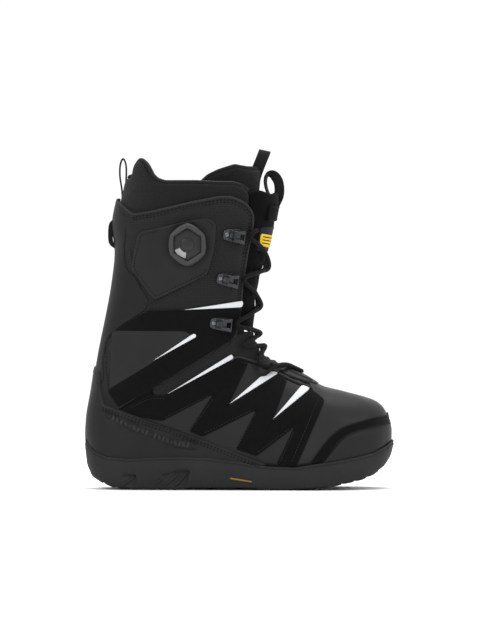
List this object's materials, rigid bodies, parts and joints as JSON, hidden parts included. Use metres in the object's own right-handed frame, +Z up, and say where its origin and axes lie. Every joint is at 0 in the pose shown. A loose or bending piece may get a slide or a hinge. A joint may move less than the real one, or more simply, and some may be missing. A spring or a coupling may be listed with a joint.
{
  "type": "snowboard boot",
  "caption": "Laced snowboard boot for the right foot with a cup sole, flexing cuff, padded tongue, removable liner, lace hooks and a side reel dial that tightens an inner harness.",
  "frame": {"origin": "centre of the flat arch lug's underside, on the floor under the middle of the sole", "axes": "+X towards the toe, -Y towards the outer (lateral) side of the right foot, +Z up along the cuff"},
  "size_m": [0.3096, 0.1327, 0.339],
  "materials": {
    "sole_rubber": "matte moulded rubber",
    "upper_rubber": "satin moulded rubber",
    "midsole_foam": "matte foam",
    "footbed_foam": "foam under a woven cover",
    "shank_plastic": "matte",
    "sole_badge": "metallic gold ink on plastic",
    "leather": "fine-grained synthetic leather, satin",
    "suede": "brushed suede, matte",
    "spike": "pale coated film, satin",
    "gusset_fabric": "ribbed stretch fabric",
    "liner_mesh": "fine knitted mesh over foam",
    "webbing": "woven webbing",
    "lace": "round braid",
    "hook_metal": "gunmetal, satin",
    "moulded_plastic": "moulded, satin",
    "knob_rubber": "overmoulded rubber, matte",
    "knob_cap": "satin with a pale facet",
    "cable_steel": "coated steel cable",
    "label": "woven yellow label"
  },
  "bodies": {
    "lower": {"outsole": "sole_rubber", "midsole": "midsole_foam", "heel_pad": "midsole_foam", "shank": "shank_plastic", "lasting_board": "footbed_foam", "sole_badge": "sole_badge", "quarters": "leather", "vamp": "leather", "toe_strip": "suede", "toe_bumper": "upper_rubber", "heel_counter": "upper_rubber", "suede_lower_lateral": "suede", "suede_lower_medial": "suede", "spike_c_lateral": "spike", "spike_c_medial": "spike", "spike_d_lateral": "spike", "spike_d_medial": "spike", "spike_e_lateral": "spike", "spike_e_medial": "spike", "ankle_gusset_lateral": "gusset_fabric", "ankle_gusset_medial": "gusset_fabric", "liner_foot": "liner_mesh", "footbed": "footbed_foam", "tongue_base": "gusset_fabric", "lace_guide": "moulded_plastic", "lace_loop_lateral": "webbing", "lace_loop_medial": "webbing"},
    "cuff": {"cuff_shell": "leather", "liner_cuff": "liner_mesh", "liner_tongue": "liner_mesh", "backstay": "leather", "suede_cuff_lateral": "suede", "suede_cuff_medial": "suede", "spike_b_lateral": "spike", "spike_b_medial": "spike", "spike_a_lateral": "spike", "spike_a_medial": "spike", "dial_pod": "moulded_plastic", "reel_housing": "moulded_plastic", "ankle_harness_lateral": "webbing", "ankle_harness_medial": "webbing", "reel_cable": "cable_steel", "lace_lateral": "lace", "lace_medial": "lace", "hook_lateral_1": "hook_metal", "hook_lateral_2": "hook_metal", "hook_lateral_3": "hook_metal", "hook_medial_1": "hook_metal", "hook_medial_2": "hook_metal", "hook_medial_3": "hook_metal", "liner_tongue_loop": "webbing", "liner_heel_loop": "webbing", "heel_keeper": "webbing"},
    "tongue": {"outer_tongue": "leather", "tongue_label": "label", "tongue_pull_loop": "webbing"},
    "spool": {"reel_spool": "moulded_plastic"},
    "knob": {"reel_knob": "knob_rubber", "reel_cap": "knob_cap"}
  },
  "joints": [
    {"name": "ankle_flex", "type": "hinge", "parent": "lower", "child": "cuff", "pos_m": [-0.084, 0, 0.099], "axis": [0, 1, 0], "range_deg": [0, 10], "stiffness_Nm_per_rad": 60, "deforming": ["ankle_gusset_lateral", "ankle_gusset_medial", "lace_lateral", "lace_medial", "tongue_base"]},
    {"name": "tongue_open", "type": "hinge", "parent": "cuff", "child": "tongue", "pos_m": [0.015, 0, 0.157], "axis": [0, 1, 0], "range_deg": [0, 12], "stiffness_Nm_per_rad": 2, "deforming": ["lace_lateral", "lace_medial"]},
    {"name": "dial_turn", "type": "hinge", "parent": "cuff", "child": "spool", "pos_m": [-0.051, -0.05982, 0.2436], "axis": [0, -1, 0], "continuous": true},
    {"name": "dial_pull", "type": "slide", "parent": "spool", "child": "knob", "axis": [0, -1, 0], "range_m": [0, 0.004]}
  ]
}
